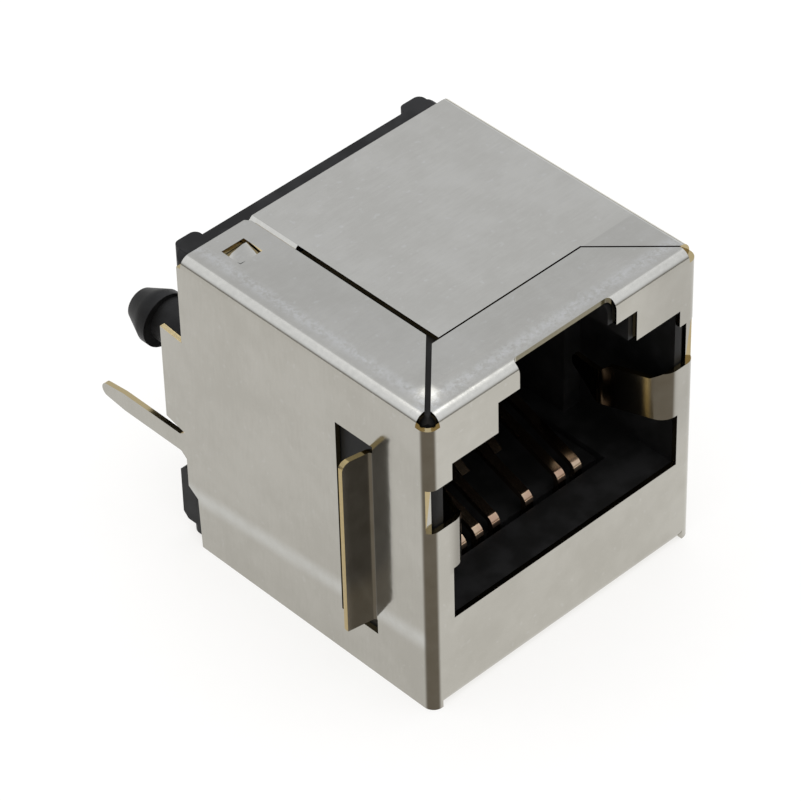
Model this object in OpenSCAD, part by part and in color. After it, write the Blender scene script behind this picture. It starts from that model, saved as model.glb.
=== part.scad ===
// Vertical shielded eight-way modular jack for board mounting, with two panel ground tabs.
// +X is to the right of the plug opening, +Z is its latch side and the opening faces -Y.
// The origin lies on the board's face, midway between the two locating pegs.

/* [Shield] */
// Width over the side walls
shield_w = 16.2; // [15.8:0.1:18]
// Height from the bottom plate to the top panel
shield_h = 16.65; // [16.4:0.05:18]
// Depth from the front panel to the board
seat_depth = 16.8; // [16.6:0.1:19]
// Sheet thickness
sheet_t = 0.25; // [0.2:0.01:0.3]
// Outer radius of the folds
fold_r = 0.55; // [0.5:0.05:0.7]
// Distance the side walls stop short of the board
wall_back_gap = 1.4; // [1.2:0.05:1.6]
// Distance the top panels stop short of the board
top_back_gap = 1.65; // [1.5:0.05:1.9]
// Depth of the top lip behind the front panel
lip_depth = 3.55; // [3:0.05:4]
// Width of the slit between the two top panels
slit_w = 0.26; // [0.15:0.01:0.35]
// Distance from the middle plane to the slit
slit_x = 3.9; // [3.4:0.1:4.4]
// Width of the left mitre gap
mitre_left_gap = 0.25; // [0.15:0.01:0.4]
// Width of the right mitre gap
mitre_right_gap = 0.09; // [0.06:0.01:0.2]

/* [Plug opening] */
// Height of the opening's lower edge
mouth_z = 4.85; // [4.5:0.05:5.2]
// Distance of the opening's middle from the shield's
mouth_x = 0.12; // [0:0.01:0.15]
// Half the width of the opening
mouth_half_w = 6.85; // [6.6:0.05:7]
// Half the width of the middle step
step_half_w = 4.15; // [3.9:0.05:4.5]
// Half the width of the keyway
key_half_w = 2.88; // [2.7:0.02:3.1]
// Height of the top of the wide part
mouth_top_z = 13.7; // [13.4:0.05:13.9]
// Height of the top of the middle step
step_top_z = 15.35; // [15.1:0.05:15.5]
// Height of the lower edge of the corner notches
notch_z = 10.4; // [10.2:0.05:10.6]
// Height of the corner notches
notch_h = 2.4; // [2.2:0.05:2.7]
// Depth of the plug cavity behind the front panel
cavity_depth = 12.6; // [12.2:0.1:13]
// Width of the plug cavity behind the spring fingers
cavity_w = 12; // [11.9:0.05:12.2]

/* [Ground springs] */
// Height of each spring finger at its root
finger_h = 2.65; // [2.3:0.05:2.9]
// Outer radius of a finger's root fold
finger_r = 0.9; // [0.7:0.05:1]
// Lean of a finger towards the plug
finger_lean = 21; // [15:1:25]
// Length of a finger before its contact bend
finger_l = 2.5; // [2.2:0.1:2.8]
// Length of a finger's end behind its contact bend
finger_end_l = 2.2; // [1.8:0.1:2.4]
// Lean of a finger's end back towards the wall
finger_end_lean = 12; // [8:1:20]
// Distance from the front panel to the panel ground tabs
tab_y = 3.37; // [3.1:0.05:3.8]
// Width of the slot that each tab is cut from
tab_slot_w = 2.26; // [2:0.05:2.5]
// Height of the slot's lower end
tab_slot_z = 2.5; // [2.2:0.1:3]
// Height of the slot
tab_slot_h = 10.85; // [9.5:0.1:11]
// Distance a tab stands out from its wall
tab_reach = 1.4; // [1.2:0.05:1.6]

/* [Board side] */
// Distance between the centres of the locating pegs
peg_pitch = 11.43; // [10.8:0.01:11.8]
// Diameter of a locating peg's shaft
peg_d = 2.2; // [2:0.05:2.6]
// Diameter of the snap head on a peg
peg_head_d = 2.7; // [2.4:0.05:3]
// Distance from the board's face to the snap heads
peg_grip_l = 2.25; // [1.7:0.05:2.5]
// Length of a locating peg past the board's face
peg_l = 3.9; // [3.6:0.1:4.6]
// Height of the pegs above the bottom plate
peg_z = 9.6; // [9.3:0.1:9.9]
// Length of the shield's solder tails past the board's face
shield_tail_l = 4.45; // [3.2:0.05:4.6]
// Width of the shield's solder tails
shield_tail_w = 1; // [0.8:0.05:1.1]
// Height of the shield tails' middle
shield_tail_z = 5.7; // [5.5:0.05:5.9]
// Distance the housing's back stops short of the board
back_gap = 0.8; // [0.5:0.05:0.9]

/* [Contacts] */
// Distance between neighbouring contacts
contact_pitch = 1.016; // [0.98:0.004:1.06]
// Width of a contact
contact_w = 0.46; // [0.4:0.01:0.5]
// Thickness of a contact
contact_t = 0.3; // [0.25:0.01:0.35]
// Distance from the front panel to the contacts' folds
contact_fold_y = 2.7; // [2.6:0.05:3]
// Height of the top of the contacts' folds
contact_fold_z = 5.4; // [5.2:0.05:5.6]
// Rise angle of the contact springs
contact_rise = 20; // [17:1:22]
// Distance between the two rows of contact tails
tail_row_pitch = 2.54; // [2.3:0.02:2.6]
// Length of the contact tails past the board's face
contact_tail_l = 3.3; // [2.8:0.1:3.6]

/* [Clearances] */
// Gap between the shield and the housing
shell_gap = 0.05; // [0.03:0.01:0.1]
// Gap between the housing and the contact carrier
carrier_gap = 0.05; // [0.03:0.01:0.08]

/* [Hidden] */
$fn = 48;
cut = 0.5;
metal_colour = [0.72, 0.71, 0.67];
plastic_colour = [0.13, 0.13, 0.14];
carrier_colour = [0.1, 0.1, 0.11];
gold_colour = [0.8, 0.62, 0.3];

half_w = shield_w / 2;
inner_fold_r = fold_r - sheet_t;
wall_back_y = seat_depth - wall_back_gap;
top_back_y = seat_depth - top_back_gap;
// Flat part of the front panel, inside its two corner folds
panel_half_w = half_w - fold_r;
// The notches and the keyway stop part way round the folds
notch_cut_y = 0.29;
key_cut_y = 0.48;
mitre_left = short(mitre_left_gap * sqrt(2) / 2);
mitre_right = short(mitre_right_gap * sqrt(2) / 2);
// Angle between the facets of a bent strip
bend_step = 7.5;

// Places a module drawn from the front panel's face and the bottom into the row's frame.
module from_front() {
    translate([0, -seat_depth, -peg_z]) children();
}

// Draws its children on both sides of the middle plane.
module both_sides() {
    children();
    mirror([1, 0, 0]) children();
}

// Extrudes a shape drawn in Y and Z along X, from x to x + length.
module along_x(x, length) {
    translate([x, 0, 0]) rotate([90, 0, 90]) linear_extrude(length) children();
}

// Extrudes a shape drawn in X and Z along Y, from y to y + length.
module along_y(y, length) {
    translate([0, y + length, 0]) rotate([90, 0, 0]) linear_extrude(length) children();
}

function unit(v) = v / norm(v);
function left_of(v) = [-v[1], v[0]];
function turned(v, a) = [v[0] * cos(a) - v[1] * sin(a), v[0] * sin(a) + v[1] * cos(a)];
function cross_of(a, b) = a[0] * b[1] - a[1] * b[0];
// Kept to a thousandth, so that faces which meet are at the same place
function short(v) = round(v * 1000) / 1000;

// One side of a bent strip, off to the left of its path; it turns with the radius r at each inner point.
function strip_side(path, off, r) = [
    path[0] + off * left_of(unit(path[1] - path[0])),
    for (i = [1:len(path) - 2])
        let (go_in = unit(path[i] - path[i - 1]),
             go_out = unit(path[i + 1] - path[i]),
             turn = atan2(cross_of(go_in, go_out), go_in * go_out),
             side = sign(turn),
             centre = path[i] - go_in * r * tan(abs(turn) / 2) + side * r * left_of(go_in),
             steps = ceil(abs(turn) / bend_step))
        for (k = [0:steps]) centre + (off - side * r) * turned(left_of(go_in), turn * k / steps),
    path[len(path) - 1] + off * left_of(unit(path[len(path) - 1] - path[len(path) - 2]))
];

// Strip of thickness t that follows a path, bent at its inner points to the radius r.
module strip(path, t, r) {
    far_side = strip_side(path, -t / 2, r);
    polygon(concat(strip_side(path, t / 2, r),
                   [for (i = [len(far_side) - 1:-1:0]) far_side[i]]));
}

// Quarter of a folded sheet's section: centre at the origin, in the -X +Y corner.
module fold_section() {
    intersection() {
        difference() {
            circle(r = fold_r);
            circle(r = inner_fold_r);
        }
        translate([-fold_r, 0]) square(fold_r);
    }
}

// ---------------------------------------------------------------- shield

// Front panel with its two corner folds, seen from above.
module front_section() {
    translate([-panel_half_w, 0]) square([2 * panel_half_w, sheet_t]);
    both_sides() translate([-panel_half_w, fold_r]) mirror([0, 1]) fold_section();
}

// One side wall with its board stop, solder tail and back edge, drawn in Y and Z.
module wall_outline() {
    foot_back_y = wall_back_y - 0.5;
    heel_y = wall_back_y + 0.2;
    heel_z = 3.3;
    stop_z = 6.75;
    stop_top_z = 11.95;
    tail_low_z = shield_tail_z - shield_tail_w / 2;
    tail_high_z = shield_tail_z + shield_tail_w / 2;
    tail_end_y = seat_depth + shield_tail_l;
    tail_tip_r = 0.36 * shield_tail_w;
    tail_taper_y = tail_end_y - 1.5 * shield_tail_w;
    polygon([[fold_r, 0], [foot_back_y, 0], [foot_back_y + 0.1, heel_z - 0.45], [heel_y, heel_z],
             [heel_y, tail_low_z - 0.3], [heel_y + 0.35, tail_low_z], [heel_y + 0.35, tail_high_z],
             [heel_y, tail_high_z + 0.25], [seat_depth, stop_z], [seat_depth, stop_top_z],
             [wall_back_y, stop_top_z - 0.15], [wall_back_y, shield_h - fold_r],
             [fold_r, shield_h - fold_r]]);
    polygon([[heel_y, tail_low_z], [tail_taper_y, tail_low_z],
             [tail_end_y - tail_tip_r, shield_tail_z - tail_tip_r],
             [tail_end_y - tail_tip_r, shield_tail_z + tail_tip_r],
             [tail_taper_y, tail_high_z], [heel_y, tail_high_z]]);
    translate([tail_end_y - tail_tip_r, shield_tail_z]) circle(r = tail_tip_r);
}

// Bottom plate with the fold that joins it to the front panel, drawn in Y and Z.
module bottom_section() {
    translate([fold_r, fold_r]) rotate(90) fold_section();
    translate([fold_r, 0]) square([wall_back_y - 0.8 - fold_r, sheet_t]);
}

// Stepped outline of the plug opening, drawn in X and Z and grown by spread.
module mouth_outline(spread = 0) {
    low = mouth_z - spread;
    translate([-mouth_half_w - spread, low])
        square([2 * (mouth_half_w + spread), mouth_top_z - low + spread]);
    translate([-step_half_w - spread, low])
        square([2 * (step_half_w + spread), step_top_z - low + spread]);
}

// Cuts in the front panel: the opening, the keyway and the corner notches.
module front_cuts() {
    corner_r = 0.25;
    translate([mouth_x, 0, 0]) {
        along_y(-cut, sheet_t + 2 * cut) mouth_outline();
        translate([0, 0, step_top_z - cut]) linear_extrude(shield_h) {
            translate([-key_half_w, -cut]) square([2 * key_half_w, cut + key_cut_y - corner_r]);
            translate([-key_half_w + corner_r, -cut])
                square([2 * (key_half_w - corner_r), cut + key_cut_y]);
            both_sides() translate([key_half_w - corner_r, key_cut_y - corner_r])
                circle(r = corner_r);
        }
    }
    translate([-half_w - cut, -cut, notch_z])
        cube([shield_w + 2 * cut, cut + notch_cut_y, notch_h]);
}

// Slot in a side wall, from which a panel ground tab is cut.
module tab_slot() {
    translate([-half_w - cut, tab_y, tab_slot_z])
        cube([sheet_t + 2 * cut, tab_slot_w, tab_slot_h]);
}

// Panel ground tab on the left wall, folded outwards at the slot's front edge.
module ground_tab() {
    lean = 10;
    bend_r = 0.15 + sheet_t / 2;
    tab_low_z = tab_slot_z + 0.85;
    tab_high_z = tab_slot_z + tab_slot_h - 0.35;
    corner_r = 0.45;
    wall_x = -half_w + sheet_t / 2;
    corner = [wall_x, tab_y + bend_r * tan((90 - lean) / 2)];
    reach = tab_reach + sheet_t / 2;
    intersection() {
        translate([0, 0, tab_low_z]) linear_extrude(tab_high_z - tab_low_z)
            strip([[wall_x, tab_y - cut / 2], corner, corner + reach * [-1, tan(lean)]],
                  sheet_t, bend_r);
        along_y(0, seat_depth) {
            translate([-half_w - tab_reach, 0]) square([tab_reach + cut, tab_high_z - corner_r]);
            translate([-half_w - tab_reach + corner_r, 0]) square([tab_reach + cut, tab_high_z]);
            translate([-half_w - tab_reach + corner_r, tab_high_z - corner_r])
                circle(r = corner_r);
        }
    }
}

// Spring finger on the left: root fold, leaning blade and outward end, seen from above.
module finger_section() {
    mid_y = sheet_t / 2;
    root_run = finger_r * tan((90 - finger_lean) / 2);
    corner = [-mouth_half_w + root_run, mid_y];
    elbow = corner + (root_run + finger_l) * [sin(finger_lean), cos(finger_lean)];
    end = elbow + finger_end_l * [-sin(finger_end_lean), cos(finger_end_lean)];
    strip([[-mouth_half_w, mid_y], corner, elbow, end], sheet_t, finger_r - sheet_t / 2);
}

// The root is as high as the gap it is cut from, the blade is a little lower, the end tapers.
module finger() {
    low_z = notch_z - finger_h;
    blade_high_z = notch_z - 0.38;
    tip_r = 0.4;
    root_y = finger_r * (1 - sin(finger_lean));
    elbow_y = root_y + finger_l * cos(finger_lean);
    tip_y = elbow_y + finger_end_l * cos(finger_end_lean) - tip_r;
    tip_z = (low_z + blade_high_z) / 2;
    intersection() {
        translate([0, 0, low_z - cut]) linear_extrude(finger_h + cut) finger_section();
        along_x(-half_w, half_w) {
            polygon([[-cut, low_z], [elbow_y + 0.3, low_z], [tip_y, tip_z - tip_r],
                     [tip_y, tip_z + tip_r], [elbow_y + 0.1, blade_high_z - 0.4],
                     [elbow_y - 0.3, blade_high_z], [root_y + 0.2, blade_high_z],
                     [sheet_t, notch_z], [-cut, notch_z]]);
            translate([tip_y, tip_z]) circle(r = tip_r);
        }
    }
}

// Flat parts of the top: the lip, the left strip and the main panel, seen from above.
module lip_outline() {
    lip_run = lip_depth - fold_r;
    polygon([[-panel_half_w + mitre_left, fold_r], [panel_half_w - mitre_right, fold_r],
             [panel_half_w - mitre_right - lip_run, lip_depth],
             [-panel_half_w + mitre_left + lip_run, lip_depth]]);
}

module left_strip_outline() {
    edge_x = -slit_x - slit_w;
    polygon([[-panel_half_w, fold_r + mitre_left], [edge_x, fold_r + mitre_left + edge_x + panel_half_w],
             [edge_x, top_back_y - 0.25], [edge_x - 0.2, top_back_y], [-panel_half_w, top_back_y]]);
}

module main_panel_outline() {
    front_y = lip_depth + mitre_right_gap;
    polygon([[panel_half_w, fold_r + mitre_right], [panel_half_w, top_back_y], [-slit_x, top_back_y],
             [-slit_x, front_y], [panel_half_w + mitre_right + fold_r - front_y, front_y]]);
}

// Tongue of the main panel, joggled down one sheet so that it runs under the left strip.
module tongue_section() {
    drop = sheet_t + 0.03;
    low = shield_h - sheet_t;
    joggle = 0.32;
    end_x = -panel_half_w + 0.35;
    polygon([[-slit_x + 0.02, shield_h], [-slit_x, shield_h], [-slit_x - joggle, shield_h - drop],
             [end_x, shield_h - drop], [end_x, low - drop], [-slit_x - joggle, low - drop],
             [-slit_x, low], [-slit_x + 0.02, low]]);
}

// Latch window in the left strip, and the barb of the tongue that snaps into it.
window_w = 1.28;
window_l = 1.2;
window_x = -5.85;
window_y = top_back_y - 1.5;
tongue_l = 2.9;

module latch_window() {
    translate([window_x - window_w / 2, window_y - window_l / 2, shield_h - sheet_t - cut / 4])
        cube([window_w, window_l, sheet_t + cut]);
}

// Barb: a bump that the tongue carries, with its ridge from corner to corner of the window.
module barb() {
    gap = 0.06;
    back_gap = 0.24;
    low_z = shield_h - 2 * sheet_t;
    ridge_z = shield_h - 0.03;
    half_run = 0.72;
    intersection() {
        translate([window_x, window_y, 0]) rotate([90, 0, -45])
            linear_extrude(2 * window_w, center = true)
                polygon([[-half_run, low_z], [-half_run, low_z + 0.25], [-0.04, ridge_z], [0.06, ridge_z],
                         [half_run, ridge_z - 0.16], [half_run, low_z]]);
        translate([window_x - window_w / 2 + gap, window_y - window_l / 2 + gap, low_z])
            cube([window_w - 2 * gap, window_l - gap - back_gap, 1]);
    }
}

module tongue() {
    along_y(top_back_y - tongue_l, tongue_l) tongue_section();
    barb();
}

module shield_sheet() {
    strip_len = top_back_y - fold_r - mitre_left;
    panel_len = top_back_y - fold_r - mitre_right;
    relief = 0.06;
    difference() {
        linear_extrude(shield_h - fold_r) front_section();
        translate([-panel_half_w + relief, -cut, -cut])
            cube([2 * (panel_half_w - relief), fold_r + 2 * cut, fold_r + cut]);
    }
    // Bottom plate and the fold under the front panel
    along_x(-panel_half_w + relief, 2 * (panel_half_w - relief)) bottom_section();
    // Side walls
    along_x(-half_w, sheet_t) wall_outline();
    along_x(half_w - sheet_t, sheet_t) wall_outline();
    // Folds from the walls and the front panel to the top
    along_y(top_back_y - strip_len, strip_len)
        translate([-panel_half_w, shield_h - fold_r]) fold_section();
    along_y(top_back_y - panel_len, panel_len)
        translate([panel_half_w, shield_h - fold_r]) mirror([1, 0]) fold_section();
    along_x(-panel_half_w + mitre_left, 2 * panel_half_w - mitre_left - mitre_right)
        translate([fold_r, shield_h - fold_r]) fold_section();
    // Flat top parts
    translate([0, 0, shield_h - sheet_t]) linear_extrude(sheet_t) {
        lip_outline();
        left_strip_outline();
        main_panel_outline();
    }
}

module shield() color(metal_colour) from_front() {
    difference() {
        shield_sheet();
        front_cuts();
        both_sides() tab_slot();
        latch_window();
    }
    tongue();
    both_sides() ground_tab();
    translate([mouth_x, 0, 0]) both_sides() finger();
}

// ---------------------------------------------------------------- housing

shell_off = sheet_t + shell_gap;
body_half_w = half_w - shell_off;
body_front_y = shell_off;
body_back_y = seat_depth - back_gap;
foot_gap = 0.35;
body_low_z = shell_off;
body_high_z = shield_h - shell_off;
pocket_depth = finger_r + finger_l + finger_end_l + 0.4;
ledge_depth = contact_fold_y - 0.15;

// Pocket that holds the contact carrier, open to the back and to the plug cavity.
carrier_half_w = 4.5 * contact_pitch + 0.5;
carrier_low_z = body_low_z + 0.8;
carrier_high_z = mouth_z - 0.35;
carrier_front_y = contact_fold_y + contact_t + 0.05;

module rounded_block(low, high, r) {
    // Vertical edges rounded
    translate([0, 0, low[2]]) linear_extrude(high[2] - low[2]) {
        translate([low[0] + r, low[1]]) square([high[0] - low[0] - 2 * r, high[1] - low[1]]);
        translate([low[0], low[1] + r]) square([high[0] - low[0], high[1] - low[1] - 2 * r]);
        for (x = [low[0] + r, high[0] - r], y = [low[1] + r, high[1] - r])
            translate([x, y]) circle(r = r);
    }
}

// Outer block: its long edges clear the shield's folds.
module housing_block() {
    edge_r = fold_r;
    intersection() {
        rounded_block([-body_half_w, body_front_y, body_low_z],
                      [body_half_w, body_back_y, body_high_z], edge_r);
        along_y(0, seat_depth) {
            translate([-body_half_w + edge_r, body_low_z])
                square([2 * (body_half_w - edge_r), body_high_z - body_low_z]);
            translate([-body_half_w, body_low_z])
                square([2 * body_half_w, body_high_z - body_low_z - edge_r]);
            both_sides() translate([body_half_w - edge_r, body_high_z - edge_r])
                circle(r = edge_r);
        }
        along_x(-half_w, shield_w) {
            translate([body_front_y + edge_r, body_low_z])
                square([seat_depth, body_high_z - body_low_z]);
            translate([body_front_y, body_low_z + edge_r])
                square([seat_depth, body_high_z - body_low_z - 2 * edge_r]);
            for (z = [body_low_z + edge_r, body_high_z - edge_r])
                translate([body_front_y + edge_r, z]) circle(r = edge_r);
        }
    }
}

// Plug cavity: wide pocket for the fingers in front, then the plug's own width, and the keyway,
// which is open to the shield's top.
module plug_cavity() {
    front = body_front_y - cut;
    pocket_half_w = mouth_half_w + mouth_x + 0.04;
    along_y(front, pocket_depth - front)
        translate([-pocket_half_w, mouth_z - 0.05])
            square([2 * pocket_half_w, mouth_top_z - mouth_z]);
    along_y(front, cavity_depth - front) {
        translate([-cavity_w / 2, mouth_z - 0.05])
            square([cavity_w, mouth_top_z - 0.15 - mouth_z]);
        translate([-step_half_w + 0.1, mouth_z])
            square([2 * (step_half_w - 0.1), step_top_z - 0.1 - mouth_z]);
        translate([-key_half_w + 0.1, mouth_z])
            square([2 * (key_half_w - 0.1), shield_h - mouth_z]);
    }
}

// Trough behind the ledge, and the carrier's channel through to the back.
module carrier_channel() {
    gap = carrier_gap;
    translate([-carrier_half_w - gap, ledge_depth, carrier_low_z - gap])
        cube([2 * (carrier_half_w + gap), seat_depth, carrier_high_z - carrier_low_z + 2 * gap]);
    translate([-carrier_half_w - gap, ledge_depth, carrier_high_z - cut])
        cube([2 * (carrier_half_w + gap), cavity_depth - ledge_depth, mouth_z + cut - carrier_high_z]);
}

// Ribs on the cavity's back wall, one on each side of every contact.
module comb() {
    rib_w = contact_pitch - contact_w - 0.2;
    comb_top_z = contact_fold_z + (spring_end_y - contact_fold_y) * tan(contact_rise) + 0.8;
    for (i = [0:contact_count])
        translate([contact_x(i + 0.5) - rib_w / 2, cavity_depth - comb_depth, carrier_high_z + carrier_gap])
            cube([rib_w, comb_depth + cut, comb_top_z - carrier_high_z]);
}

// Room under the left strip for the shield's tongue.
module tongue_room() {
    translate([-half_w, top_back_y - tongue_l - 0.15, body_high_z - sheet_t - shell_gap])
        cube([half_w - slit_x + 0.35, tongue_l + 0.25, sheet_t + cut]);
}

// Foot at a lower back corner, from the block towards the board.
module foot(x, z, width, height) {
    bevel = 0.3;
    back_y = seat_depth - foot_gap;
    along_x(x, width)
        polygon([[body_back_y - cut, z], [back_y - bevel, z], [back_y, z + bevel],
                 [back_y, z + height - bevel], [back_y - bevel, z + height],
                 [body_back_y - cut, z + height]]);
}

// Rounded lug at an upper back corner, seen from above, flush with the block's top.
module lug(x, width, height) {
    r = 0.35;
    back_y = seat_depth - foot_gap;
    translate([0, 0, body_high_z - height]) linear_extrude(height) {
        translate([x, body_back_y - cut]) square([width, back_y - r - body_back_y + cut]);
        translate([x + r, body_back_y - cut]) square([width - 2 * r, back_y - body_back_y + cut]);
        for (end_x = [x + r, x + width - r]) translate([end_x, back_y - r]) circle(r = r);
    }
}

// Locating peg: a shoulder up to the board's face, the shaft, and a snap head that overhangs it
// on the outer side and tapers to the nose.
module peg() {
    // The head clears the shaft a little on its inner side too
    inner_step = 0.05;
    head_shift = (peg_head_d - peg_d) / 2 - inner_step;
    head_l = 0.45;
    shoulder_d = peg_head_d + 0.3;
    nose_d = 0.6 * peg_head_d;
    root_y = body_back_y - cut;
    head_y = seat_depth + peg_grip_l;
    translate([-peg_pitch / 2, 0, peg_z]) rotate([-90, 0, 0]) {
        translate([0, 0, root_y]) cylinder(d = shoulder_d, h = seat_depth - root_y);
        translate([0, 0, root_y]) cylinder(d = peg_d, h = head_y - root_y);
        translate([-head_shift, 0, head_y]) {
            cylinder(d = peg_head_d, h = head_l);
            translate([0, 0, head_l])
                cylinder(d1 = peg_head_d, d2 = nose_d, h = peg_l - peg_grip_l - head_l);
        }
    }
}

module housing() color(plastic_colour) from_front() {
    difference() {
        housing_block();
        plug_cavity();
        carrier_channel();
        tongue_room();
    }
    comb();
    both_sides() {
        lug(-body_half_w + 0.42, 1.35, 1.2);
        foot(-body_half_w, body_low_z + 0.45, 1.3, 3.15);
        peg();
    }
}

// ---------------------------------------------------------------- contacts

contact_count = 8;
// Positions, counted from the right, whose springs are rooted at the back
back_rooted = [3, 5];
wire_gap = 0.02;
contact_bend_r = 0.4;
// The springs' free ends lie between the ribs of the housing's comb
comb_depth = 0.9;
spring_end_y = cavity_depth - 0.4;
low_row_z = carrier_low_z + 0.55;
high_row_z = low_row_z + tail_row_pitch;

function contact_x(i) = (contact_count + 1 - 2 * i) / 2 * contact_pitch;
function tail_z(i) = i % 2 == 1 ? low_row_z : high_row_z;
function is_back_rooted(i) = len(search(i, back_rooted)) > 0;

// Path of a contact in Y and Z, from its tail to the free end of its spring.
function front_path(i) =
    let (end_y = seat_depth + contact_tail_l,
         face_y = contact_fold_y + contact_t / 2,
         top_z = contact_fold_z - contact_t / 2,
         reach = spring_end_y - face_y)
    [[end_y, tail_z(i)], [face_y, tail_z(i)], [face_y, top_z],
     [face_y + reach, top_z + reach * tan(contact_rise)]];

function back_path(i) =
    let (end_y = seat_depth + contact_tail_l,
         crest = [contact_fold_y + 6.3, contact_fold_z + 6 * tan(contact_rise)])
    [[end_y, tail_z(i)], [spring_end_y, tail_z(i)], [spring_end_y, crest[1] - 1.2], crest,
     [contact_fold_y + 3, contact_fold_z]];

module contact(i, extra = 0) {
    w = contact_w + 2 * extra;
    path = is_back_rooted(i) ? back_path(i) : front_path(i);
    along_x(contact_x(i) - w / 2, w) strip(path, contact_t + 2 * extra, contact_bend_r);
}

module contact_carrier() color(carrier_colour) from_front() {
    difference() {
        translate([-carrier_half_w, carrier_front_y, carrier_low_z])
            cube([2 * carrier_half_w, body_back_y - carrier_front_y, carrier_high_z - carrier_low_z]);
        for (i = [1:contact_count]) contact(i, wire_gap);
    }
}

module gold_contact(i) color(gold_colour) from_front() contact(i);

shield();
housing();
contact_carrier();
gold_contact(1);  // contact_1
gold_contact(2);  // contact_2
gold_contact(3);  // contact_3
gold_contact(4);  // contact_4
gold_contact(5);  // contact_5
gold_contact(6);  // contact_6
gold_contact(7);  // contact_7
gold_contact(8);  // contact_8
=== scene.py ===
import math

import bpy
from mathutils import Euler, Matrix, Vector


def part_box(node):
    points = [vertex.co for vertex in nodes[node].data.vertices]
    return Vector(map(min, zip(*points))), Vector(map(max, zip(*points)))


# Shielded top entry modular jack: folded plated sheet, black moulding, gold-plated contact wires.
# Lengths are in metres, in the frame of the solids; mm turns millimetres into metres.

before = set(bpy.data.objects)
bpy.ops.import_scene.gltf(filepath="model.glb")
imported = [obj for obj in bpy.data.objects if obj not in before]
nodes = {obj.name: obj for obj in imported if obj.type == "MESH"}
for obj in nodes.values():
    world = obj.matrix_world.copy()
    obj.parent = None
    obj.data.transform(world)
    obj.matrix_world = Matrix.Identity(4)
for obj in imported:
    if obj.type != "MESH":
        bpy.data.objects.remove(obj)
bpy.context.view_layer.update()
mm = 0.001
shieldLow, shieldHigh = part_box("shield")
contactCount = 8
print("solids loaded:", ", ".join(sorted(nodes)))


class Wire:
    # A socket of a node tree that can stand in a sum; node() makes any other node
    def __init__(self, tree, socket=None):
        self.tree = tree
        self.socket = socket

    def node(self, kind, settings=None, sockets=None, out=0):
        made = self.tree.nodes.new(kind)
        for name, value in (settings or {}).items():
            setattr(made, name, value)
        feed(made, sockets or {})
        return Wire(self.tree, made.outputs[out])

    def maths(self, operation, first, second=0.0, clamp=False):
        settings = {"operation": operation, "use_clamp": clamp}
        return self.node("ShaderNodeMath", settings, {0: first, 1: second})

    def __add__(self, other):
        return self.maths("ADD", self, other)

    def __sub__(self, other):
        return self.maths("SUBTRACT", self, other)

    def __rsub__(self, other):
        return self.maths("SUBTRACT", other, self)

    def __mul__(self, other):
        return self.maths("MULTIPLY", self, other)

    def __abs__(self):
        return self.maths("ABSOLUTE", self)

    __radd__ = __add__
    __rmul__ = __mul__

    def clamped(self):
        return self.maths("ADD", self, 0.0, clamp=True)

    def step(self, low, high):  # 0 below low, 1 above high, smooth between
        return self.node("ShaderNodeMapRange", {"interpolation_type": "SMOOTHSTEP"},
                         {"Value": self, "From Min": low, "From Max": high})

    def near(self, centre, width):  # 1 at centre, 0 farther away than width
        return 1 - abs(self - centre).step(0.0, width)

    def between(self, low, high):  # low where this is 0, high where it is 1
        return low + (high - low) * self


def feed(node, sockets):
    for name, value in sockets.items():
        if isinstance(value, Wire):
            value.tree.links.new(value.socket, node.inputs[name])
        else:
            node.inputs[name].default_value = value


def colour(value):  # three numbers as a colour; a wire passes as it is
    return (*value, 1.0) if isinstance(value, tuple) else value


def mixed(factor, first, second):
    return factor.node("ShaderNodeMix", {"data_type": "RGBA"},
                       {0: factor, 6: colour(first), 7: colour(second)}, out=2)


def split(vector):
    axes = vector.node("ShaderNodeSeparateXYZ", {}, {0: vector}).socket.node.outputs
    return [Wire(vector.tree, axis) for axis in axes]


def stretched(place, x, y, z):
    return place.node("ShaderNodeVectorMath", {"operation": "MULTIPLY"}, {0: place, 1: (x, y, z)})


def noise(place, scale, detail=2.0, roughness=0.5):
    return place.node("ShaderNodeTexNoise", {}, {
        "Vector": place, "Scale": scale, "Detail": detail, "Roughness": roughness})


def bumped(height):  # height in millimetres
    return height.node("ShaderNodeBump", {}, {
        "Strength": 1.0, "Distance": mm, "Height": height})


def newMaterial(name):
    # The material, its shader, and the place on the surface in millimetres
    material = bpy.data.materials.new(name)
    material.use_nodes = True
    tree = material.node_tree
    wire = Wire(tree)
    place = wire.node("ShaderNodeVectorMath", {"operation": "SCALE"}, {
        0: wire.node("ShaderNodeTexCoord", out="Object"), "Scale": 1 / mm})
    return material, tree.nodes["Principled BSDF"], place


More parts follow.
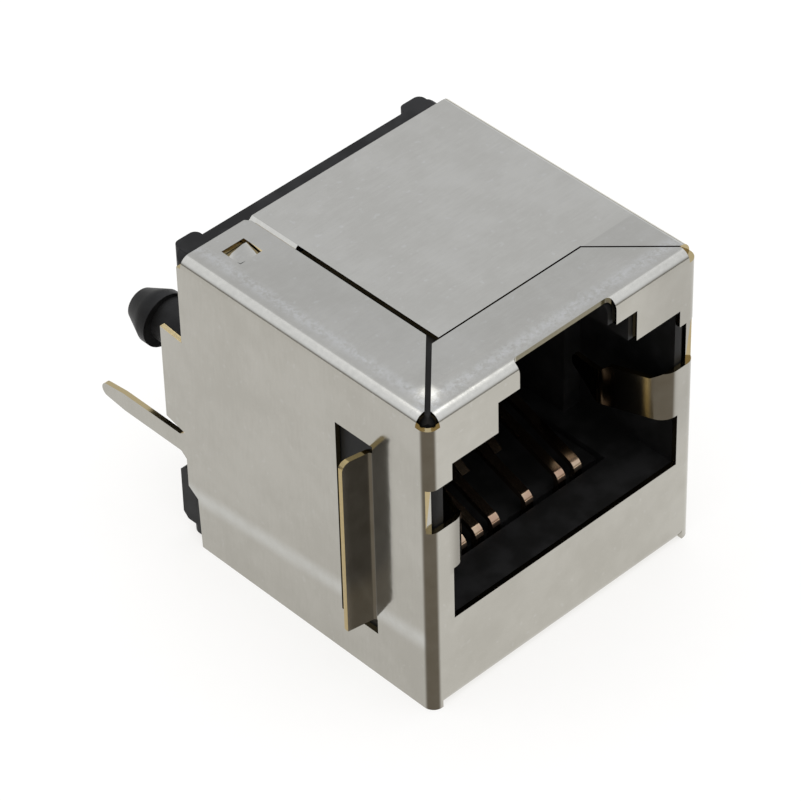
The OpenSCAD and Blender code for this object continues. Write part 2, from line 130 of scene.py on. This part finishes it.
# Where each part of the folded sheet starts, in millimetres: its mask rises from the first
# number to the second. A band has its middle and half its width. Heights are from the bottom.
sheetPlaces = {
    "tabReach": 1.4,                # how far each panel tab stands out from its wall
    "tabFold": (0.05, 0.2),         # out from the wall
    "tabHead": (5.0, 6.6),          # upper half of a tab
    "wallFold": (0.02, 0.3),        # in from either wall
    "wallBandDepth": (0.02, 0.1),        # lighter band on the left wall
    "wallBandPlace": (4.1, 0.75),
    "wallBandSlope": 0.07,               # its fall towards the back
    "panelLeft": (-4.06, -4.02),    # main top panel, from the middle
    "panelFront": (3.5, 3.6),       # and back from the front
    "stripHighlightBand": (1.05, 0.5),       # painted highlight band along the left strip, in from the wall
    "lipHighlightBand": (1.0, 0.6),          # painted highlight band along the front lip, back from the front
    "sagRun": (0.2, 2.1),           # top sheet beside its folds
    "frontSkin": (0.30, 0.35),      # front panel, back from the front
    "endRun": (3.0, 6.5),           # its right end, from the middle
    "endRise": (4.0, 8.0),
    "keyHalf": (3.1, 3.3),          # keyway, from the middle
    "keyRise": (15.2, 15.4),
    "bladeHalf": (5.9, 7.1),        # spring fingers, from the middle
    "bladeFoot": (7.4, 7.6),
    "bladeHead": (10.4, 10.5),
    "bladeGlintPlace": (5.92, 0.1),     # painted gold highlight along a finger's bend
}

# The same for parts told by the way the sheet faces, on the components of its unit normal
sheetFacing = {
    "top": (0.6, 0.9),
    "crestStart": (0.45, 0.75),     # rounded top folds
    "crestEnd": (0.955, 0.995),
    "cornerFold": (0.03, 0.34),     # upright fold between the front and the left wall, painted with a dark reflection
    "cornerTilt": (0.1, 0.4),
    "cornerSide": (-0.1, 0.1),
}


def sheetRegions(place, normal):
    # Masks of the shield's parts
    at, facing = sheetPlaces, sheetFacing
    right = shieldHigh.x / mm - at["tabReach"]
    x, y, z = split(place)
    across = abs(x)
    inward = x - (shieldLow.x / mm + at["tabReach"])    # from the left wall
    back = y - shieldLow.y / mm                         # from the front
    up = z - shieldLow.z / mm                           # from the bottom
    nx, ny, nz = split(normal)
    top = nz.step(*facing["top"])
    tab = (across - right).step(*at["tabFold"])
    panel = x.step(*at["panelLeft"]) * back.step(*at["panelFront"])
    blade = ((1 - across.step(*at["bladeHalf"])) * up.step(*at["bladeFoot"])
             * (1 - up.step(*at["bladeHead"])))
    leftWall = 1 - inward.step(*at["wallFold"])
    rightWall = 1 - (right - x).step(*at["wallFold"])
    bands = inward.near(*at["stripHighlightBand"]) + back.near(*at["lipHighlightBand"])
    leftWallBand = (up + back * at["wallBandSlope"]).near(*at["wallBandPlace"])
    return {
        "fold": ((nx * ny).step(*facing["cornerFold"]) * (1 - nz.step(*facing["cornerTilt"]))
                 * (1 - nx.step(*facing["cornerSide"]))),
        "crest": nz.step(*facing["crestStart"]) * (1 - nz.step(*facing["crestEnd"])),
        "inset": bands.clamped() * top,
        "lap": (1 - panel) * top,
        "wall": (leftWall + rightWall).clamped(),
        "wallBand": (1 - inward.step(*at["wallBandDepth"])) * leftWallBand,
        "sag": inward.step(*at["sagRun"]) * back.step(*at["sagRun"]),
        "end": ((1 - back.step(*at["frontSkin"])) * x.step(*at["endRun"])
                * up.step(*at["endRise"])),
        "key": (1 - across.step(*at["keyHalf"])) * up.step(*at["keyRise"]),
        "tab": tab,
        "tabHigh": tab * up.step(*at["tabHead"]),
        "blade": blade,
        "bladeGlint": across.near(*at["bladeGlintPlace"]) * blade,
    }


plating = {
    "light": (0.475, 0.460, 0.415),
    "dull": (0.435, 0.420, 0.375),
    "toneShares": (0.5, 0.3, 0.2),      # of cloud, patch and rolling marks
    "toneRange": (0.35, 0.65),
    "fleck": (0.60, 0.60, 0.59),
    "fleckRange": (0.68, 0.76),
    "fleckCover": 0.16,
    "insetHighlightRange": (0.35, 0.6),
    "insetHighlightCover": 0.35,                 # painted highlight bands on the strip and the lip, in the fleck colour
    # painted highlight colour on the crests of the folds
    "paler": (0.78, 0.755, 0.68),
    "crestHighlightCover": (0.3, 0.8),            # painted highlight on the crests of the folds
    "leftWallBand": (0.58, 0.585, 0.57),
    "wallBandCover": (0.25, 0.75),
    # painted dark reflection colour
    "darkReflection": (0.085, 0.070, 0.048),
    "darkReflectionCover": (0.88, 1.0),         # painted dark reflection on tabs, fingers and the upright fold
    "tabShade": (0.030, 0.024, 0.016),  # upper half of the tabs
    "bareEdgeAndGlint": (0.44, 0.34, 0.16),
    "bareCover": (0.7, 1.0),
    "fingerGlintCover": 0.8,
    "keyEdge": (0.16, 0.14, 0.08),
    "lapShadeTone": 0.90,                    # painted shade on the lip and left strip beside the main panel
    # painted shade on both side walls
    "wallShadeTone": 0.86,
    "frontShadeTone": 0.84,                  # painted shade on the right end of the front panel
    "cloudSize": 0.35,                  # sizes are per millimetre
    "patchSize": 1.085,
    "fleckSize": 3.5,
    "streakSize": 4.2,
    "grainSize": 9.0,
    "rolledSize": (1.2, 9.0, 1.2),
    "roughness": 0.08,
    "patchRoughness": 0.05,
    "grainRoughness": 0.03,
    "waveHeight": 0.014,                # heights are in millimetres
    "grainHeight": 0.0008,
    "sagHeight": 0.11,                  # how far the top sheet falls towards its folds
}


def darkened(mask, tone):
    return 1 - mask * (1 - tone)


def platedSheet():
    material, shader, place = newMaterial("platedSheet")
    part = sheetRegions(place, place.node("ShaderNodeTexCoord", out="Normal"))
    cloud = noise(place, plating["cloudSize"], detail=3.0)
    patch = noise(place, plating["patchSize"], detail=4.0, roughness=0.6)
    grain = noise(place, plating["grainSize"])
    streak = noise(place, plating["streakSize"], detail=4.0, roughness=0.7)
    spots = noise(place, plating["fleckSize"], detail=1.0)
    rolled = noise(stretched(place, *plating["rolledSize"]), 1.0)
    bare = place.node("ShaderNodeAttribute", {"attribute_name": "cutEdge"}, out="Fac")

    # Plating, with its flecks and with painted shade on the lip, the left strip, the walls and
    # the right end of the front panel
    cloudShare, patchShare, rolledShare = plating["toneShares"]
    tone = cloud * cloudShare + patch * patchShare + rolled * rolledShare
    metal = mixed(tone.step(*plating["toneRange"]), plating["dull"], plating["light"])
    fleck = spots.step(*plating["fleckRange"]) * plating["fleckCover"]
    metal = mixed(fleck, metal, plating["fleck"])
    shade = (darkened(part["lap"], plating["lapShadeTone"])
             * darkened(part["wall"], plating["wallShadeTone"])
             * darkened(part["end"], plating["frontShadeTone"]))
    metal = mixed((1 - shade).clamped(), metal, (0.0, 0.0, 0.0))

    # Painted highlights along the strip, the lip and the crests of the folds, and a lighter band
    # on the left wall
    # Lighter band on the left wall, falling towards the back
    metal = mixed(part["wallBand"] * patch.between(*plating["wallBandCover"]), metal, plating["leftWallBand"])
    # Painted highlight bands along the strip and the lip, in the fleck colour
    insetHighlight = part["inset"] * streak.step(*plating["insetHighlightRange"]) * plating["insetHighlightCover"]
    metal = mixed(insetHighlight, metal, plating["fleck"])
    # Painted highlight on the crests of the folds
    metal = mixed(part["crest"] * streak.between(*plating["crestHighlightCover"]), metal, plating["paler"])

    # Painted dark reflections on the tabs, fingers and upright fold, painted shade on the upper
    # tabs, cut edges, and a painted gold highlight along each finger's bend
    dark = (part["fold"] + part["tab"] + part["blade"]).clamped()
    darkReflectionAndShade = mixed(part["tabHigh"], plating["darkReflection"], plating["tabShade"])
    metal = mixed(dark * patch.between(*plating["darkReflectionCover"]), metal, darkReflectionAndShade)
    # Cut edge colour, also used for the painted gold highlight along each finger's bend
    edgeAndGlintColour = mixed(part["key"], plating["bareEdgeAndGlint"], plating["keyEdge"])
    edgeAndGlintMask = (bare * grain.between(*plating["bareCover"])
             + part["bladeGlint"] * plating["fingerGlintCover"])
    metal = mixed(edgeAndGlintMask.clamped(), metal, edgeAndGlintColour)

    rough = (plating["roughness"] + plating["patchRoughness"] * patch
             + plating["grainRoughness"] * grain)
    height = (cloud * plating["waveHeight"] + grain * plating["grainHeight"]
              + part["sag"] * plating["sagHeight"])
    feed(shader, {"Base Color": metal, "Metallic": 1.0, "Roughness": rough,
                  "Normal": bumped(height)})
    return material


moulding = {
    "black": (0.0100, 0.0096, 0.0090),
    "paler": (0.018, 0.0175, 0.017),
    "wornRange": (0.4, 0.7),
    "specular": 0.10,
    "roughness": 0.31,
    "patchRoughness": 0.12,
    "textureRoughness": 0.1,
    "patchSize": 0.8,           # sizes are per millimetre
    "textureSize": 14.0,
    "textureHeight": 0.004,     # millimetres
}


def blackMoulding():
    material, shader, place = newMaterial("blackMoulding")
    texture = noise(place, moulding["textureSize"], detail=3.0, roughness=0.6)
    patch = noise(place, moulding["patchSize"], detail=3.0)
    base = mixed(patch.step(*moulding["wornRange"]), moulding["black"], moulding["paler"])
    rough = (moulding["roughness"] + moulding["patchRoughness"] * patch
             + moulding["textureRoughness"] * texture)
    feed(shader, {"Base Color": base, "Roughness": rough,
                  "Normal": bumped(texture * moulding["textureHeight"]),
                  "Specular IOR Level": moulding["specular"]})
    return material


wirePlating = {
    "gold": (0.52, 0.39, 0.27),
    "copper": (0.44, 0.29, 0.20),
    "copperRange": (0.35, 0.7),
    "tin": (0.66, 0.64, 0.60),
    "tinRange": (-1.0, -0.4),       # millimetres along the tail, from the board's face
    "roughness": 0.09,
    "patchRoughness": 0.05,
    "tinRoughness": 0.12,
    "patchSize": 1.3,               # sizes are per millimetre
    "drawnSize": (14.0, 0.8, 14.0),
    "drawnHeight": 0.0015,          # millimetres
}


def goldWire():
    material, shader, place = newMaterial("goldWire")
    drawn = noise(stretched(place, *wirePlating["drawnSize"]), 1.0)
    patch = noise(place, wirePlating["patchSize"])
    tinned = split(place)[1].step(*wirePlating["tinRange"])
    gold = mixed(patch.step(*wirePlating["copperRange"]),
                 wirePlating["gold"], wirePlating["copper"])
    base = mixed(tinned, gold, wirePlating["tin"])
    rough = (wirePlating["roughness"] + wirePlating["patchRoughness"] * patch
             + wirePlating["tinRoughness"] * tinned)
    feed(shader, {"Base Color": base, "Metallic": 1.0, "Roughness": rough,
                  "Normal": bumped(drawn * wirePlating["drawnHeight"])})
    return material


sheetEdges = {
    "weldGap": 0.002,       # lengths are in millimetres
    "rayInset": 0.01,       # how far below a face its ray starts
    "rayReach": 30.0,
    "sheetDepth": 0.52,     # a face with more metal than this behind it is a cut edge
    "foldAngle": 25,        # degrees; a sharper corner stays sharp
}


def edgeFinder():
    # Marks the cut edges of a thin sheet, smooths its folds and keeps its corners sharp
    group = bpy.data.node_groups.new("edgeFinder", "GeometryNodeTree")
    group.interface.new_socket("Geometry", in_out="INPUT", socket_type="NodeSocketGeometry")
    group.interface.new_socket("Geometry", in_out="OUTPUT", socket_type="NodeSocketGeometry")
    wire = Wire(group)
    welded = wire.node("GeometryNodeMergeByDistance", {}, {
        "Geometry": wire.node("NodeGroupInput"), "Distance": sheetEdges["weldGap"] * mm})
    normal = wire.node("GeometryNodeInputNormal")
    inward = wire.node("ShaderNodeVectorMath", {"operation": "SCALE"}, {0: normal, "Scale": -1.0})
    inside = wire.node("ShaderNodeVectorMath", {"operation": "MULTIPLY_ADD"}, {
        0: normal, 1: (-sheetEdges["rayInset"] * mm,) * 3,
        2: wire.node("GeometryNodeInputPosition")})
    distance = wire.node("GeometryNodeRaycast", {}, {
        "Target Geometry": welded, "Source Position": inside, "Ray Direction": inward,
        "Ray Length": sheetEdges["rayReach"] * mm}, out="Hit Distance")
    deep = wire.node("FunctionNodeCompare", {"data_type": "FLOAT", "operation": "GREATER_THAN"},
                     {0: distance, 1: sheetEdges["sheetDepth"] * mm})
    marked = wire.node(
        "GeometryNodeStoreNamedAttribute", {"data_type": "FLOAT", "domain": "FACE"},
        {"Geometry": welded, "Name": "cutEdge", "Value": deep})
    smooth = wire.node("GeometryNodeSetShadeSmooth", {"domain": "FACE"}, {
        "Geometry": marked, "Shade Smooth": True})
    flat = wire.node("FunctionNodeCompare", {"data_type": "FLOAT", "operation": "LESS_THAN"}, {
        0: wire.node("GeometryNodeInputMeshEdgeAngle"),
        1: math.radians(sheetEdges["foldAngle"])})
    sharp = wire.node("GeometryNodeSetShadeSmooth", {"domain": "EDGE"}, {
        "Geometry": smooth, "Shade Smooth": flat})
    feed(group.nodes.new("NodeGroupOutput"), {0: sharp})
    return group


def dress(name, material):
    piece = nodes[name]
    piece.data.materials.clear()
    piece.data.materials.append(material)
    piece.modifiers.new("edgeFinder", "NODES").node_group = finder


finder = edgeFinder()
sheetFinish, plasticFinish, wireFinish = platedSheet(), blackMoulding(), goldWire()
print("finishes made")

dress("shield", sheetFinish)
dress("housing", plasticFinish)
dress("contact_carrier", plasticFinish)
for number in range(contactCount):
    dress(f"contact_{number + 1}", wireFinish)
print("solids dressed")


paper = {
    "size": 3.0,
    "tone": (0.22, 0.22, 0.22),
    "fibreTone": (0.2167, 0.2167, 0.2167),
    "fibreSize": 0.8,           # per millimetre
    "fibreRange": (0.3, 0.7),
    "roughness": 0.9,
    "specular": 0.1,
    "glow": (1.0, 0.985, 0.955),
    "glowStrength": 0.75,
}


def addFloor():
    half = paper["size"] / 2
    corners = [(-half, -half), (half, -half), (half, half), (-half, half)]
    mesh = bpy.data.meshes.new("floor")
    mesh.from_pydata([(x, y, shieldLow.z) for x, y in corners], [], [(0, 1, 2, 3)])
    floor = bpy.data.objects.new("floor", mesh)
    bpy.context.scene.collection.objects.link(floor)
    material, shader, place = newMaterial("palePaper")
    fibre = noise(place, paper["fibreSize"], detail=3.0)
    tone = mixed(fibre.step(*paper["fibreRange"]), paper["tone"], paper["fibreTone"])
    feed(shader, {"Base Color": tone, "Roughness": paper["roughness"],
                  "Specular IOR Level": paper["specular"],
                  "Emission Color": colour(paper["glow"]),
                  "Emission Strength": paper["glowStrength"]})
    mesh.materials.append(material)


sky = {
    "high": (0.93, 0.96, 1.03),
    "horizon": (0.35, 0.34, 0.32),
    "rise": (0.05, 0.3),        # where the horizon gives way, from 0 level to 1 overhead
    "strength": 1.0,
}


def addSky():
    world = bpy.data.worlds.new("studio")
    bpy.context.scene.world = world
    world.use_nodes = True
    height = split(Wire(world.node_tree).node("ShaderNodeTexCoord", out="Generated"))[2]
    feed(world.node_tree.nodes["Background"], {
        "Color": mixed(height.step(*sky["rise"]), sky["horizon"], sky["high"]),
        "Strength": sky["strength"]})


overheadBox = {
    "spot": (0.0, 0.0, 0.6),
    "target": (0.0, -0.008, 0.0),
    "size": (0.7, 0.7),
    "power": 2.5,
    "tint": (0.97, 0.98, 1.0),
}


def addLight():
    data = bpy.data.lights.new("overheadBox", "AREA")
    data.shape = "RECTANGLE"
    data.size, data.size_y = overheadBox["size"]
    data.energy = overheadBox["power"]
    data.color = overheadBox["tint"]
    light = bpy.data.objects.new("overheadBox", data)
    light.location = overheadBox["spot"]
    aim = Vector(overheadBox["target"]) - light.location
    light.rotation_euler = aim.to_track_quat("-Z", "Y").to_euler()
    bpy.context.scene.collection.objects.link(light)


viewpoint = {
    "spot": (-0.09788, -0.11197, 0.12356),
    "turn": (48.652, 1.179, -43.907),   # degrees
    "lens": 193.74,                     # lens and sensor are in millimetres
    "sensor": 36.0,
    "nearest": 0.01,
}


def addCamera():
    data = bpy.data.cameras.new("camera")
    data.lens = viewpoint["lens"]
    data.sensor_width = viewpoint["sensor"]
    data.clip_start = viewpoint["nearest"]
    camera = bpy.data.objects.new("camera", data)
    camera.location = viewpoint["spot"]
    camera.rotation_euler = Euler([math.radians(angle) for angle in viewpoint["turn"]])
    bpy.context.scene.collection.objects.link(camera)
    bpy.context.scene.camera = camera


addFloor()
addSky()
addLight()
addCamera()
bpy.context.scene.view_settings.view_transform = "Standard"
print("studio set")
